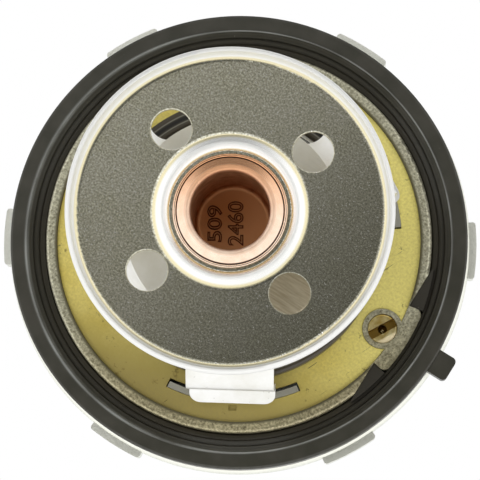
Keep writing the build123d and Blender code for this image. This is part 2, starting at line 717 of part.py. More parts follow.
# ---------------------------------------------------------------- main valve
def build_main_valve():
    """The pressed valve disc with its hub and stiffening bead."""
    hub_out = press_r + VALVE_SHEET
    hub_end = valve_top + VALVE_HUB
    bead_top = valve_top + BEAD_RISE
    groove_top = valve_under + GROOVE_DEPTH
    body = ring(
        (press_r, valve_under, SHEET_EDGE),
        (valve_r, valve_under),
        (valve_r, valve_top),
        (hub_out, valve_top, VALVE_HUB_BEND),
        (hub_out, hub_end),
        (press_r, hub_end),
    )
    bead = ring(
        (BEAD_R - BEAD_FOOT, valve_top),
        (BEAD_R - BEAD_CREST, bead_top, BEAD_EDGE),
        (BEAD_R + BEAD_CREST, bead_top, BEAD_EDGE),
        (BEAD_R + BEAD_FOOT, valve_top),
    )
    groove = ring(
        (BEAD_R - GROOVE_MOUTH, valve_under),
        (BEAD_R - GROOVE_FLOOR, groove_top),
        (BEAD_R + GROOVE_FLOOR, groove_top),
        (BEAD_R + GROOVE_MOUTH, valve_under),
    )
    return body + bead - groove


def build_valve_seal():
    """The rubber moulded round the valve's edge, which shuts on the flange plate."""
    inner = valve_r - SEAL_BITE
    low = valve_under - SEAL_WALL
    high = valve_top + SEAL_WALL
    body = ring(
        (inner, low, SEAL_EDGE),
        (seal_r, low, SEAL_EDGE),
        (seal_r, high, SEAL_EDGE),
        (inner, high, SEAL_EDGE),
    )
    return body - disc(valve_r, valve_under, valve_top)


# --------------------------------------------------------------- bypass disc
def build_bypass_disc():
    """The pressed cap that shuts the bypass: turned-up lip, four holes and a round bead in the middle."""
    lip_in = disc_r - DISC_SHEET
    bead = [(guide_bore_r, disc_flat), (BOSS_IN, disc_flat), (BOSS_CREST_R, boss_top), (BOSS_OUT, disc_flat)]
    bead.append((lip_in, disc_flat))
    hollow_in, hollow_top, hollow_out = beneath(bead, DISC_SHEET)[1:4]
    body = ring(
        (guide_bore_r, disc_under),
        (guide_bore_r, disc_flat, SHEET_EDGE),
        (BOSS_IN, disc_flat, BOSS_BLEND_IN),
        (BOSS_CREST_R, boss_top, BOSS_BLEND_TOP),
        (BOSS_OUT, disc_flat, BOSS_BLEND_OUT),
        (lip_in, disc_flat, DISC_BEND),
        (lip_in, lip_top, LIP_EDGE),
        (disc_r, lip_top, LIP_ROLL),
        (disc_r, disc_under, DISC_BEND + DISC_SHEET),
        (*hollow_out, SHEET_EDGE),
        hollow_top,
        (*hollow_in, SHEET_EDGE),
    )
    bevel_height = DISC_HOLE_EDGE + CUT_PAST
    for angle in disc_angles:
        centre = polar(DISC_HOLE_AT_R, angle)
        body -= disc(DISC_HOLE_R, disc_under - CUT_PAST, disc_flat + CUT_PAST, centre)
        bevel = Cone(DISC_HOLE_R, DISC_HOLE_R + bevel_height, bevel_height, align=(Align.CENTER, Align.CENTER, Align.MIN))
        body -= Pos(*centre, disc_flat - DISC_HOLE_EDGE) * bevel
    return body


def build_retaining_ring():
    """The ring staked on the capsule's shoulder that keeps the bypass disc on."""
    low = disc_flat + SEAT_GAP
    top = rim_low + RETAINER_PAST_RIM
    return ring(
        (press_r, low),
        (press_r + RETAINER_WIDTH, low),
        (press_r + RETAINER_WIDTH, top, RETAINER_EDGE),
        (press_r, top, RETAINER_EDGE / 2),
    )


def build_spring_seat():
    """The washer pressed on the capsule under the bypass spring."""
    return ring(
        (press_r, spring_seat_under, SHEET_EDGE),
        (spring_seat_r, spring_seat_under, SHEET_EDGE),
        (spring_seat_r, spring_seat_top),
        (press_r, spring_seat_top),
    )


# ----------------------------------------------------------------- air vent
def build_vent_body():
    """The slotted vent pressed in its boss, with the ball's cell inside."""
    cell_r = BALL_R + BALL_GAP
    cell_top = vent_floor + BALL_CELL_HEIGHT
    body = ring(
        (VENT_HOLE_R, vent_foot),
        (VENT_R - TURNED_EDGE, vent_foot),
        (VENT_R, vent_foot + TURNED_EDGE),
        (VENT_R, vent_head, TURNED_EDGE),
        (VENT_HOLE_R, vent_head),
        (VENT_HOLE_R, cell_top),
        (cell_r, cell_top),
        (cell_r, vent_floor),
        (VENT_HOLE_R, vent_floor),
    )
    slot = bar(-2 * VENT_R, 4 * VENT_R, VENT_SLOT_WIDTH, vent_head - VENT_SLOT_DEPTH, vent_head + CUT_PAST)
    return Pos(vent_at_r, 0, 0) * (body - Rot(0, 0, VENT_SLOT_ANGLE) * slot)


def build_vent_ball():
    """The ball that drops to let air past and is carried up by the coolant."""
    stand = sqrt(BALL_R**2 - VENT_HOLE_R**2) + PRESS_GAP
    return Pos(vent_at_r, 0, vent_floor + stand) * Sphere(BALL_R)


# ------------------------------------------------------------------- springs
def build_main_spring():
    """The tapered spring between the main valve and the frame."""
    low = valve_top + SEAT_GAP
    high = frame_under - SEAT_GAP
    return coil(main_spring_r, main_spring_top_r, low, high, MAIN_WIRE, MAIN_TURNS)


def build_bypass_spring():
    """The straight spring between its seat and the bypass disc."""
    low = spring_seat_top + SEAT_GAP
    high = disc_under - SEAT_GAP
    return coil(BYPASS_SPRING_R, BYPASS_SPRING_R, low, high, BYPASS_WIRE, BYPASS_TURNS)


def main():
    parts = {
        "housing": build_housing(),
        "outlet_neck": build_outlet_neck(),
        "piston_bridge": build_piston_bridge(),
        "housing_gasket": build_gasket(),
        "flange_plate": build_flange_plate(),
        "frame": build_frame(),
        "piston": build_piston(),
        "piston_seat": build_piston_seat(),
        "main_valve": build_main_valve(),
        "valve_seal": build_valve_seal(),
        "main_spring": build_main_spring(),
        "capsule_cup": build_capsule_cup(),
        "capsule_guide": build_capsule_guide(),
        "back_up_washer": build_back_up_washer(),
        "rubber_sleeve": build_rubber_sleeve(),
        "wax_charge": build_wax(),
        "bypass_disc": build_bypass_disc(),
        "bypass_spring": build_bypass_spring(),
        "bypass_spring_seat": build_spring_seat(),
        "retaining_ring": build_retaining_ring(),
        "vent_body": build_vent_body(),
        "vent_ball": build_vent_ball(),
    }
    os.makedirs("parts", exist_ok=True)
    for name, shape in parts.items():
        export_step(shape, f"parts/{name}.step")


main()
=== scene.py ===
import math

import bmesh
import bpy
from mathutils import Matrix, Vector


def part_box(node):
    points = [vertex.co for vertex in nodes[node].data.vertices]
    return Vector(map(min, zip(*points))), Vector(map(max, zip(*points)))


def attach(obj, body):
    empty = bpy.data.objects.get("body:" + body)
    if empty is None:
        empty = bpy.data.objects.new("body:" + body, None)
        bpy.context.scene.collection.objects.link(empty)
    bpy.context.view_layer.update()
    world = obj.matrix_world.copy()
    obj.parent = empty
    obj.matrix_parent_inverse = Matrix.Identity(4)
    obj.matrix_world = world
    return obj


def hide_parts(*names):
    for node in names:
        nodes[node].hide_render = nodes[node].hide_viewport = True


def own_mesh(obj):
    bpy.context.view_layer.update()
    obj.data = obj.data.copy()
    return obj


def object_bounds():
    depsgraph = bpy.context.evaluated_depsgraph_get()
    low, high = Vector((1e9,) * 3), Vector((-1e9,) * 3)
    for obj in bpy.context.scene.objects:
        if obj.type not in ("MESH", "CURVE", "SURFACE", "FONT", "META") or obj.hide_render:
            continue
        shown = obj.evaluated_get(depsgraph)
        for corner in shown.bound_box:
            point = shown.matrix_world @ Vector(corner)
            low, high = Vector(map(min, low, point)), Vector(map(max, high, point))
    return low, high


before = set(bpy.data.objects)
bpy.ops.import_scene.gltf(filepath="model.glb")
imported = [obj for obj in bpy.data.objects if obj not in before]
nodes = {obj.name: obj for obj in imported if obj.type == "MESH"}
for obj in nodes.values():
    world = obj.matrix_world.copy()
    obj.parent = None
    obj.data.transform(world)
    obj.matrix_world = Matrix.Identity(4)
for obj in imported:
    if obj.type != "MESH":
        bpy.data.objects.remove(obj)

MM = 0.001
cad_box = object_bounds()

# Places on the part that its finishes follow, in millimetres. The radii are about the valve's axis.
# The capsule and the ring on its end
HOLLOW_R = 5.5
HOLLOW_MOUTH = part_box("capsule_cup")[1].z / MM - 0.3
HOLLOW_FLOOR = 17.2
SEAM_AT = 7.4  # between the two
# The bypass disc and the frame
DISC_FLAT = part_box("bypass_disc")[1].z / MM - 2.2
BEAD_CREST = 9.3
LIP_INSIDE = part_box("bypass_disc")[1].x / MM - 1.0
PLATE_UNDER_DISC = 19.0
FEET_TOP = 0.6
# The gasket and the valve's seal
GASKET_OUTSIDE = -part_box("housing_gasket")[0].x / MM
GASKET_INSIDE = GASKET_OUTSIDE - 5.0
RIDGE_AT = GASKET_OUTSIDE - 2.4  # the gasket's fine ridge
LOBES_OUTSIDE = GASKET_OUTSIDE - 4.2  # the two flat lobes beside the vent
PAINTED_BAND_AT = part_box("valve_seal")[1].x / MM - 1.35
# The flange plate, the casting and the vent
PLATE_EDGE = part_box("flange_plate")[1].y / MM
FLANGE_TOP = -3.6
VENT_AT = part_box("vent_body")[1].x / MM - 2.2
VENT_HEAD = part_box("vent_body")[1].z / MM
VENT_SLOT_TURN = math.radians(60)
VENT_BLOCK_R = 5.0  # about the vent

# The camera is turned about Z: the direction that points right in its view, and the one that points up.
VIEW_TURN = math.radians(32.04)
VIEW_RIGHT = Vector((math.cos(VIEW_TURN), math.sin(VIEW_TURN), 0))
VIEW_UP = Vector((-math.sin(VIEW_TURN), math.cos(VIEW_TURN), 0))
# The view's lower right, toward which painted shade darkens the disc and the frame's plate under it.
PAINTED_SHADE_SIDE = (VIEW_RIGHT - VIEW_UP).normalized()


# ------------------------------------------------------------------ helpers
def colour(code):
    """An sRGB hex colour such as "c4b45c" as linear RGBA."""
    channels = [int(code[i : i + 2], 16) / 255 for i in (0, 2, 4)]
    linear = [c / 12.92 if c <= 0.04045 else ((c + 0.055) / 1.055) ** 2.4 for c in channels]
    return (*linear, 1.0)


def add(tree, kind, inputs=None, **settings):
    """One node with its settings, its values and its links. A hex code is a colour, and a node its result."""
    made = tree.nodes.new(kind)
    for name, value in settings.items():
        setattr(made, name, value)
    for socket, value in (inputs or {}).items():
        if isinstance(value, bpy.types.Node):
            value = next(output for output in value.outputs if output.enabled)
        if isinstance(value, bpy.types.NodeSocket):
            tree.links.new(value, made.inputs[socket])
        else:
            made.inputs[socket].default_value = colour(value) if isinstance(value, str) else value
    return made


def new_material(name):
    """An empty material, its nodes, and the object's own coordinates in millimetres."""
    material = bpy.data.materials.new(name)
    material.use_nodes = True
    tree = material.node_tree
    tree.nodes.clear()
    place = add(tree, "ShaderNodeTexCoord").outputs["Object"]
    return material, tree, add(tree, "ShaderNodeMapping", {"Vector": place, "Scale": [1 / MM] * 3})


def surface(material, looks):
    """Ends a material in one shader with these values and links."""
    shader = add(material.node_tree, "ShaderNodeBsdfPrincipled", looks)
    add(material.node_tree, "ShaderNodeOutputMaterial", {"Surface": shader})
    return material


def dress(material, *names):
    """Gives the CAD nodes of these names one finish."""
    for name in names:
        piece = nodes[name]
        if not piece.material_slots:
            piece.data.materials.append(material)
        for slot in piece.material_slots:
            slot.material = material


def merged_mesh(shape, name, merge):
    """A bmesh as a mesh, with points nearer than this merged and its faces turned outwards."""
    bmesh.ops.remove_doubles(shape, verts=shape.verts, dist=merge)
    bmesh.ops.recalc_face_normals(shape, faces=shape.faces)
    mesh = bpy.data.meshes.new(name)
    shape.to_mesh(mesh)
    shape.free()
    return mesh


def new_piece(name, mesh, material):
    """A finished mesh as an object of one material."""
    mesh.materials.clear()
    mesh.materials.append(material)
    piece = bpy.data.objects.new(name, mesh)
    bpy.context.scene.collection.objects.link(piece)
    return piece


# ------------------------------------------------- patterns of the finishes
SMOOTH = {"interpolation_type": "SMOOTHSTEP"}
SHARE, UNDER, OVER = 0, 6, 7  # inputs of a Mix node that mixes colours


def span(value, start, end, low=0.0, high=1.0):
    """The inputs of a Map Range node that takes a value from low to high between two limits."""
    return {"Value": value, "From Min": start, "From Max": end, "To Min": low, "To Max": high}


def mottle(tree, place, size, detail=2.0, roughness=0.5, spread=(0.35, 0.65), to=(0.0, 1.0)):
    """Noise with spots of a size in millimetres, raw and then stretched from its middle values to a range."""
    values = {"Vector": place, "Scale": 1 / size, "Detail": detail, "Roughness": roughness}
    raw = add(tree, "ShaderNodeTexNoise", values)
    return raw, add(tree, "ShaderNodeMapRange", span(raw, *spread, *to))


def layered(tree, under, *layers):
    """A colour with others laid over it in turn, each by its own share."""
    for share, over in layers:
        under = add(tree, "ShaderNodeMix", {SHARE: share, UNDER: under, OVER: over}, data_type="RGBA")
    return under


def radius_and_height(tree, place):
    """How far a point is from the valve's axis, and its height, in millimetres."""
    parts = add(tree, "ShaderNodeSeparateXYZ", {0: place})
    flat = add(tree, "ShaderNodeCombineXYZ", {0: parts.outputs["X"], 1: parts.outputs["Y"]})
    return add(tree, "ShaderNodeVectorMath", {0: flat}, operation="LENGTH"), parts.outputs["Z"]


def away_from(tree, value, middle):
    """How far a value is from a middle one, on either side."""
    off = add(tree, "ShaderNodeMath", {0: value, 1: middle}, operation="SUBTRACT")
    return add(tree, "ShaderNodeMath", {0: off}, operation="ABSOLUTE")


def toward(tree, place, direction, start, end, low=0.0, high=1.0):
    """A value that changes smoothly from low to high between two places along a direction."""
    along = add(tree, "ShaderNodeVectorMath", {0: place, 1: direction}, operation="DOT_PRODUCT")
    return add(tree, "ShaderNodeMapRange", span(along, start, end, low, high), **SMOOTH)


# ---------------------------------------------------------------- materials
def tumbled_steel():
    """Zinc-plated steel, tumbled: the flat is matt with crystals and painted glints, the rest burnished
    white.
    """
    material, tree, place = new_material("tumbled_plated_steel")
    radius, height = radius_and_height(tree, place)
    # the crystals are 0.1 mm, and drawn coarser so that they show
    _, grain = mottle(tree, place, 0.2632, 2.0, 0.6, spread=(0.32, 0.7))
    # painted glints: white specks standing in for crystals that catch the light
    _, painted_glints = mottle(tree, place, 0.2273, 1.0, 0.5, spread=(0.66, 0.74))
    _, soil = mottle(tree, place, 4.545, 4.0, 0.6)
    peaks = layered(tree, "fdfbe9", (soil, "fffdf2"))
    # painted shade on the disc's flat, darker toward the view's lower right
    painted_shade = toward(tree, place, PAINTED_SHADE_SIDE, -8.0, 20.0, high=0.4)
    matt = layered(tree, "a6a38c", (soil, "b4b19b"), (grain, peaks), (painted_shade, "66665a"), (painted_glints, "ffffff"))
    # a thin yellowed line where the burnished edges begin
    white = add(tree, "ShaderNodeMapRange", span(height, DISC_FLAT + 0.14, DISC_FLAT + 0.3), **SMOOTH)
    plating = layered(tree, "e9dfb9", (white, "f8f8f5"))
    raised = add(tree, "ShaderNodeMapRange", span(height, DISC_FLAT + 0.015, DISC_FLAT + 0.07), **SMOOTH)
    beneath = add(tree, "ShaderNodeMapRange", span(height, DISC_FLAT - 0.3, DISC_FLAT - 0.6), **SMOOTH)
    bare = add(tree, "ShaderNodeMath", {0: raised, 1: beneath}, operation="MAXIMUM")
    # the crests of the bead and the lip were rubbed duller in the tumbler
    crest = add(tree, "ShaderNodeMapRange", span(away_from(tree, radius, BEAD_CREST), 0.5, 0.1), **SMOOTH)
    lip = add(tree, "ShaderNodeMapRange", span(radius, LIP_INSIDE - 0.4, LIP_INSIDE), **SMOOTH)
    dulled = add(tree, "ShaderNodeMath", {0: crest, 1: lip}, operation="MAXIMUM")
    looks = {
        "Base Color": layered(tree, matt, (bare, plating)),
        "Metallic": add(tree, "ShaderNodeMapRange", span(dulled, 0.0, 1.0, 1.0, 0.45), **SMOOTH),
        "Roughness": add(tree, "ShaderNodeMapRange", span(dulled, 0.0, 1.0, 0.27, 0.46), **SMOOTH),
    }
    return surface(material, looks)


def bright_strip():
    """Plated strip steel, bright, with a faint rolling grain along X that only blurs its shine."""
    material, tree, place = new_material("bright_plated_strip")
    radius, height = radius_and_height(tree, place)
    # the grain is 3 mm long and 0.25 mm wide
    rolled = add(tree, "ShaderNodeMapping", {"Vector": place, "Scale": (0.35, 4.0, 4.0)})
    _, haze = mottle(tree, rolled, 1.0, 3.0, to=(0.3, 0.36))
    _, soil = mottle(tree, place, 4.0, 4.0, 0.6)
    _, smudges = mottle(tree, place, 1.11, 3.0, 0.6, spread=(0.68, 0.76), to=(0.0, 0.6))
    # painted shade on the plate under the disc, brownish and darker toward the view's lower right, streaked
    # by the grain
    under_disc = span(radius, PLATE_UNDER_DISC, PLATE_UNDER_DISC - 3.0)
    sheltered = add(tree, "ShaderNodeMapRange", under_disc, **SMOOTH)
    painted_shade_under_disc = toward(tree, place, PAINTED_SHADE_SIDE, -3.0, 11.0)
    painted_shade_under_disc = add(tree, "ShaderNodeMath", {0: sheltered, 1: painted_shade_under_disc}, operation="MULTIPLY")
    _, streaks = mottle(tree, rolled, 1.11, 3.0, 0.6)
    painted_shade_colour = layered(tree, "b0a48c", (streaks, "cdc4af"))
    # painted shade on the frame's feet, darker where they sit down in the brass plate's slots
    feet = add(tree, "ShaderNodeMapRange", span(height, FEET_TOP, FEET_TOP - 0.3), **SMOOTH)
    layers = (soil, "fbfbf8"), (smudges, "b9b8ae"), (painted_shade_under_disc, painted_shade_colour), (feet, "b4b3a8")
    looks = {
        "Base Color": layered(tree, "f0efe8", *layers),
        "Metallic": add(tree, "ShaderNodeMapRange", span(sheltered, 0.0, 1.0, 0.5, 0.2), **SMOOTH),
        "Roughness": haze,
    }
    return surface(material, looks)


def dipped_brass():
    """Rolled brass, dipped in acid: dull ochre, with painted shade toward the view's foot and painted light
    toward its right, with stains and dark scratches.
    """
    material, tree, place = new_material("dipped_brass_sheet")
    _, cloud = mottle(tree, place, 6.25, 3.0, 0.6)
    _, etched = mottle(tree, place, 0.3846, 3.0, 0.6, to=(0.0, 0.3))
    _, stains = mottle(tree, place, 1.818, 4.0, 0.7, spread=(0.64, 0.7), to=(0.0, 0.7))
    # the scratches are 3 mm long and 0.2 mm wide, and all run one way
    turned = add(tree, "ShaderNodeMapping", {"Vector": place, "Rotation": (0, 0, math.radians(-66))})
    drawn_out = add(tree, "ShaderNodeMapping", {"Vector": turned, "Scale": (0.3, 5.0, 1.0)})
    _, scratches = mottle(tree, drawn_out, 1.0, 1.0, 0.4, spread=(0.775, 0.8), to=(0.0, 0.8))
    # painted light, paler toward the view's right
    painted_light_mask = toward(tree, place, VIEW_RIGHT, 8.0, 22.0)
    # painted shade on the side of the leg at the view's foot
    shaded_side = -(VIEW_UP * 0.954 + VIEW_RIGHT * 0.3).normalized()
    olive_and_painted_light = toward(tree, place, shaded_side, 12.0, 26.0, high=0.95)
    layers = [(cloud, "fae988"), (painted_light_mask, "fff394"), (olive_and_painted_light, "a09158")]
    layers += [(etched, "b7a557"), (stains, "7d6c38"), (scratches, "4f4424")]
    sheet = layered(tree, "ecd76c", *layers)
    return surface(material, {"Base Color": sheet, "Metallic": 0.5, "Roughness": 0.6})


def lathe_brass():
    """Brass turned on a lathe: yellow and glossy, with painted shade in the screwdriver slot and a painted
    highlight on one side of its head.
    """
    material, tree, place = new_material("turned_brass")
    _, height = radius_and_height(tree, place)
    _, cloud = mottle(tree, place, 1.11, 3.0)
    # a painted highlight on the side of the head past the slot, pale and rough
    across = Vector((math.sin(VENT_SLOT_TURN), -math.cos(VENT_SLOT_TURN), 0))
    slot_at = VENT_AT * across.x
    painted_highlight_side = toward(tree, place, across, slot_at + 1.1, slot_at + 1.7)
    # painted shade down in the screwdriver slot
    slot_shade = add(tree, "ShaderNodeMapRange", span(height, VENT_HEAD - 0.15, VENT_HEAD - 0.6), **SMOOTH)
    looks = {
        "Base Color": layered(tree, "d9bd70", (cloud, "fdf0bb"), (painted_highlight_side, "fff8e2"), (slot_shade, "a38544")),
        "Metallic": 1.0,
        "Roughness": add(tree, "ShaderNodeMapRange", span(painted_highlight_side, 0.0, 1.0, 0.36, 0.95), **SMOOTH),
    }
    return surface(material, looks)


def drawn_copper():
    """Deep-drawn copper: pale salmon and satin on the rim, oxidised brown down in the hollow."""
    material, tree, place = new_material("drawn_copper")
    radius, height = radius_and_height(tree, place)
    _, cloud = mottle(tree, place, 1.429, 4.0)
    tarnish = add(tree, "ShaderNodeMath", {0: cloud, 1: 0.25}, operation="MULTIPLY")
    # painted shade that makes the rim darker and more orange toward the view's top
    painted_shade_top = toward(tree, place, VIEW_UP, -4.0, 7.5)
    rim = layered(tree, "ffe6d0", (painted_shade_top, "efb68a"), (tarnish, "d9a27a"))
    # the hollow, paler again on its floor
    bottom = add(tree, "ShaderNodeMapRange", span(height, HOLLOW_FLOOR + 0.15, HOLLOW_FLOOR + 0.02), **SMOOTH)
    brown = layered(tree, "cb9c77", (cloud, "ab7c56"), (bottom, "c99a70"))
    inside = add(tree, "ShaderNodeMapRange", span(radius, HOLLOW_R + 0.2, HOLLOW_R - 0.05), **SMOOTH)
    deep = add(tree, "ShaderNodeMapRange", span(height, HOLLOW_MOUTH, HOLLOW_MOUTH - 1.0), **SMOOTH)
    hollow = add(tree, "ShaderNodeMath", {0: inside, 1: deep}, operation="MULTIPLY")
    # the seam between the capsule and its ring, 0.1 mm wide, filled with dirt
    seam = add(tree, "ShaderNodeMapRange", span(away_from(tree, radius, SEAM_AT), 0.09, 0.03), **SMOOTH)
    mouth = add(tree, "ShaderNodeMapRange", span(radius, HOLLOW_R + 1.0, HOLLOW_R + 0.7), **SMOOTH)
    looks = {
        "Base Color": layered(tree, rim, (hollow, brown), (seam, "4a2f1e")),
        "Metallic": 1.0,
        "Roughness": add(tree, "ShaderNodeMapRange", span(mouth, 0.0, 1.0, 0.27, 0.55), **SMOOTH),
    }
    return surface(material, looks)


def blasted_casting():
    """Die-cast aluminium, shot-blasted: greasy and olive inside the gasket, pale past it by painted light,
    plain grey below.
    """
    material, tree, place = new_material("blasted_cast_aluminium")
    radius, height = radius_and_height(tree, place)
    # the grit is 0.2 mm, and drawn coarser so that it shows
    grit, tone = mottle(tree, place, 0.3571, 4.0, 0.7, spread=(0.34, 0.66))
    # inside the gasket, a painted golden sheen toward the view's foot
    golden = layered(tree, "7a7258", (tone, "dbd2ac"))
    low_side = toward(tree, place, VIEW_UP, -8.0, -24.0)
    olive_and_painted_light = layered(tree, "84806a", (tone, "e4e1c8"), (low_side, golden))
    # painted shade in the gap along the brass plate's edge, but not on the block that is cast round the vent
    off_edge = add(tree, "ShaderNodeMapRange", span(away_from(tree, radius, PLATE_EDGE), 0.15, 0.6), **SMOOTH)
    from_vent = add(tree, "ShaderNodeMapping", {"Vector": place, "Location": (-VENT_AT, 0, 0)})
    off_vent, _ = radius_and_height(tree, from_vent)
    on_block = add(tree, "ShaderNodeMapRange", span(off_vent, VENT_BLOCK_R + 1.5, VENT_BLOCK_R), **SMOOTH)
    free = add(tree, "ShaderNodeMath", {0: off_edge, 1: on_block}, operation="MAXIMUM")
    by_gasket = span(radius, PLATE_EDGE + 1.4, PLATE_EDGE + 2.3, high=0.55)
    shade = add(tree, "ShaderNodeMapRange", by_gasket, **SMOOTH)
    skin = layered(tree, "6d6850", (free, olive_and_painted_light), (shade, "6b664f"))
    # past the gasket, painted light that makes the flange's top and the lugs pale
    top = add(tree, "ShaderNodeMapRange", span(height, FLANGE_TOP - 1.0, FLANGE_TOP - 0.2), **SMOOTH)
    edge = layered(tree, "dcdfd2", (tone, "fafbf4"), (top, "fafaf0"))
    painted_light_mask = add(tree, "ShaderNodeMapRange", span(radius, GASKET_INSIDE, GASKET_OUTSIDE), **SMOOTH)
    # the shell below the flange, plain blasted metal with a little staining
    _, stains = mottle(tree, place, 8.33, 4.0, 0.6)
    peaks = layered(tree, "c6c7c2", (stains, "d5d6d1"))
    shell = layered(tree, "8f908b", (stains, "9fa09a"), (tone, peaks))
    below = add(tree, "ShaderNodeMapRange", span(height, FLANGE_TOP - 2.6, FLANGE_TOP - 4.6), **SMOOTH)
    looks = {
        "Base Color": layered(tree, skin, (painted_light_mask, edge), (below, shell)),
        "Metallic": 0.8,
        "Roughness": 0.42,
        "Normal": add(tree, "ShaderNodeBump", {"Height": grit, "Strength": 0.6, "Distance": 0.08 * MM}),
    }
    return surface(material, looks)


def moulded_rubber():
    """Moulded nitrile rubber: charcoal with a low sheen, darker inside the ridge, with painted shade and
    painted highlight lines.
    """
    material, tree, place = new_material("moulded_nitrile_rubber")
    radius, _ = radius_and_height(tree, place)
    _, bloom = mottle(tree, place, 4.0, 4.0)
    _, highlight_patches = mottle(tree, place, 10.0, 2.0, to=(0.25, 0.85))
    _, dust = mottle(tree, place, 0.7143, 2.0, 0.5, spread=(0.76, 0.8), to=(0.0, 0.5))
    # inside the ridge, fine mould lines 0.6 mm apart
    lines = add(tree, "ShaderNodeMath", {0: radius, 1: 2 * math.pi / 0.6}, operation="MULTIPLY")
    lines = add(tree, "ShaderNodeMath", {0: lines}, operation="SINE")
    lines = add(tree, "ShaderNodeMapRange", span(lines, -1.0, 1.0), **SMOOTH)
    lined = layered(tree, "25231d", (lines, "37352e"))
    inner = add(tree, "ShaderNodeMapRange", span(radius, RIDGE_AT, RIDGE_AT - 1.2), **SMOOTH)
    lobes = add(tree, "ShaderNodeMapRange", span(radius, LOBES_OUTSIDE + 0.2, LOBES_OUTSIDE - 0.2), **SMOOTH)
    # painted shade on the valve's seal: a dark band with painted highlight lines along its edges, standing in
    # for the shaded spring coil over it
    off_painted_band = away_from(tree, radius, PAINTED_BAND_AT)
    painted_dark_band = add(tree, "ShaderNodeMapRange", span(off_painted_band, 0.5, 0.1), **SMOOTH)
    painted_band_highlights = span(away_from(tree, off_painted_band, 0.5), 0.14, 0.04, high=0.7)
    painted_band_highlights = add(tree, "ShaderNodeMapRange", painted_band_highlights, **SMOOTH)
    seal = layered(tree, "4b4437", (painted_dark_band, "12110e"), (painted_band_highlights, "8f8d80"))
    at_seal = add(tree, "ShaderNodeMapRange", span(radius, PAINTED_BAND_AT + 2.2, PAINTED_BAND_AT + 1.8), **SMOOTH)
    # painted highlight on the ridge, wider toward the view's left
    reach = toward(tree, place, VIEW_RIGHT, 5.0, -28.0, 0.18, 0.5)
    ridge = add(tree, "ShaderNodeMapRange", span(away_from(tree, radius, RIDGE_AT), reach, 0.03), **SMOOTH)
    painted_ridge_highlight = add(tree, "ShaderNodeMath", {0: ridge, 1: highlight_patches}, operation="MULTIPLY")
    layers = [(bloom, "434139"), (inner, lined), (lobes, "35322b")]
    layers += [(at_seal, seal), (dust, "8d8c80"), (painted_ridge_highlight, "9fa19d")]
    return surface(material, {"Base Color": layered(tree, "37362d", *layers), "Roughness": 0.38})


def spring_wire():
    """Hard-drawn spring wire: dark grey and slightly greasy, a little uneven from its die."""
    material, tree, place = new_material("oiled_spring_wire")
    raw, tone = mottle(tree, place, 0.625, 4.0)
    looks = {
        "Base Color": layered(tree, "6f6d64", (tone, "a3a198")),
        "Metallic": 1.0,
        "Roughness": 0.3,
        "Normal": add(tree, "ShaderNodeBump", {"Height": raw, "Strength": 0.15, "Distance": 0.03 * MM}),
    }
    return surface(material, looks)


def ground_steel():
    """Ground and polished steel for the piston and the ball: bright and nearly mirror-like."""
    material, tree, place = new_material("ground_steel")
    _, haze = mottle(tree, place, 0.125, 1.0, to=(0.1, 0.18))
    return surface(material, {"Base Color": "d8d8d6", "Metallic": 1.0, "Roughness": haze})


def copper_wax():
    """Wax filled with copper flake: a dull tan."""
    material, tree, place = new_material("copper_filled_wax")
    _, flakes = mottle(tree, place, 0.333, 4.0)
    return surface(material, {"Base Color": layered(tree, "a97e55", (flakes, "d2aa7c")), "Roughness": 0.6})


def white_resin():
    """Moulded fluoropolymer for the back-up washer: smooth and white."""
    material, tree, place = new_material("white_fluoropolymer")
    _, cloud = mottle(tree, place, 1.0, 2.0)
    return surface(material, {"Base Color": layered(tree, "dedcd4", (cloud, "f0eee8")), "Roughness": 0.45})


def stroke_shade_copper():
    """The sides of the stamped strokes: copper painted dark brown, as painted shade for the stamped grooves.
    """
    material, tree, place = new_material("stamped_copper_strokes")
    _, cloud = mottle(tree, place, 0.667, 2.0)
    base = layered(tree, "4a2814", (cloud, "6b3d20"))
    return surface(material, {"Base Color": base, "Metallic": 0.6, "Roughness": 0.5})


# ----------------------------------------------------------- carried nodes
copper = drawn_copper()
dress(blasted_casting(), "housing", "outlet_neck", "piston_bridge")
dress(moulded_rubber(), "housing_gasket", "valve_seal", "rubber_sleeve")
dress(dipped_brass(), "flange_plate")
dress(bright_strip(), "frame", "main_valve", "bypass_spring_seat")
dress(tumbled_steel(), "bypass_disc")
dress(copper, "capsule_cup")
dress(lathe_brass(), "capsule_guide", "vent_body")
dress(ground_steel(), "piston", "piston_seat", "vent_ball")
dress(copper_wax(), "wax_charge")
dress(white_resin(), "back_up_washer")

# ----------------------------------------------------------------- springs
CREASE = math.radians(40)  # a sharper turn between two faces stays an edge
SPRING_MERGE = 1e-6  # metres


def closing_spring(name, node, body, material):
    """A coil, merged and smooth-shaded, as a piece of its own carried by one body."""
    shape = bmesh.new()
    shape.from_mesh(nodes[node].data)
    mesh = merged_mesh(shape, name, SPRING_MERGE)
    mesh.shade_smooth()
    mesh.set_sharp_from_angle(angle=CREASE)
    piece = new_piece(name, mesh, material)
    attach(piece, body)
    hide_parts(node)
    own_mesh(piece)


wire = spring_wire()
closing_spring("main_spring_coil", "main_spring", "casing", wire)
closing_spring("bypass_spring_coil", "bypass_spring", "valve", wire)

# ---------------------------------------------------------- retaining ring
RING_GAP = 0.06  # round the capsule, in millimetres
RING_CROWN = 0.9  # height of the rounded top, as a share of half the ring's width
RING_STEPS = 8
RING_SEGMENTS = 192
RING_MERGE = 1e-7  # metres


